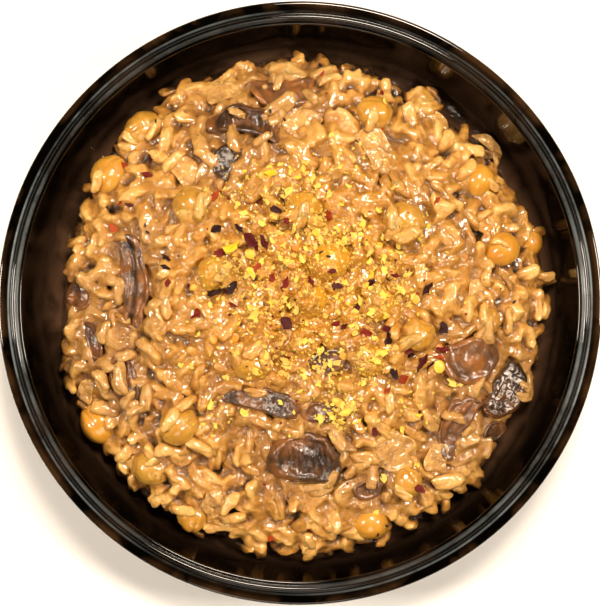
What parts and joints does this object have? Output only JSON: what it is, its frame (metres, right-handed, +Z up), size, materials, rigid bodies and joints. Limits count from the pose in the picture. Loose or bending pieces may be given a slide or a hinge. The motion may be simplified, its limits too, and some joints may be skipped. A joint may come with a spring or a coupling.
{
  "type": "mushroom risotto",
  "caption": "Mushroom risotto heaped in a shallow glossy black dish, with chickpeas, dark mushroom slices, soft onion, yellow yeast flakes and chilli flakes.",
  "frame": {"origin": "bottom centre of the dish, on its flat underside", "axes": "+Z up; the dish is round; +Y is the top edge of the view from above, +X its right"},
  "size_m": [0.172, 0.172, 0.035],
  "materials": {
    "dish": "glossy, mirror-like",
    "rice": "moist, creamy coating",
    "chickpea": "smooth, moist skin",
    "mushroom": "soft, wet and glossy",
    "onion": "soft, translucent"
  },
  "bodies": {
    "root": {"bowl": "dish", "risotto": "rice", "chickpea_01": "chickpea", "chickpea_02": "chickpea", "chickpea_03": "chickpea", "chickpea_04": "chickpea", "chickpea_05": "chickpea", "chickpea_06": "chickpea", "chickpea_07": "chickpea", "chickpea_08": "chickpea", "chickpea_09": "chickpea", "chickpea_10": "chickpea", "chickpea_11": "chickpea", "chickpea_12": "chickpea", "chickpea_13": "chickpea", "chickpea_14": "chickpea", "chickpea_15": "chickpea", "chickpea_16": "chickpea", "chickpea_17": "chickpea", "chickpea_18": "chickpea", "chickpea_19": "chickpea", "chickpea_20": "chickpea", "chickpea_21": "chickpea", "chickpea_22": "chickpea", "chickpea_23": "chickpea", "chickpea_24": "chickpea", "mushroom_01": "mushroom", "mushroom_02": "mushroom", "mushroom_03": "mushroom", "mushroom_04": "mushroom", "mushroom_05": "mushroom", "mushroom_06": "mushroom", "mushroom_07": "mushroom", "mushroom_08": "mushroom", "mushroom_09": "mushroom", "mushroom_10": "mushroom", "mushroom_11": "mushroom", "mushroom_12": "mushroom", "mushroom_13": "mushroom", "mushroom_14": "mushroom", "mushroom_15": "mushroom", "mushroom_16": "mushroom", "onion_01": "onion", "onion_02": "onion", "onion_03": "onion", "onion_04": "onion", "onion_05": "onion", "onion_06": "onion", "onion_07": "onion", "onion_08": "onion", "onion_09": "onion", "onion_10": "onion", "onion_11": "onion"}
  },
  "joints": []
}
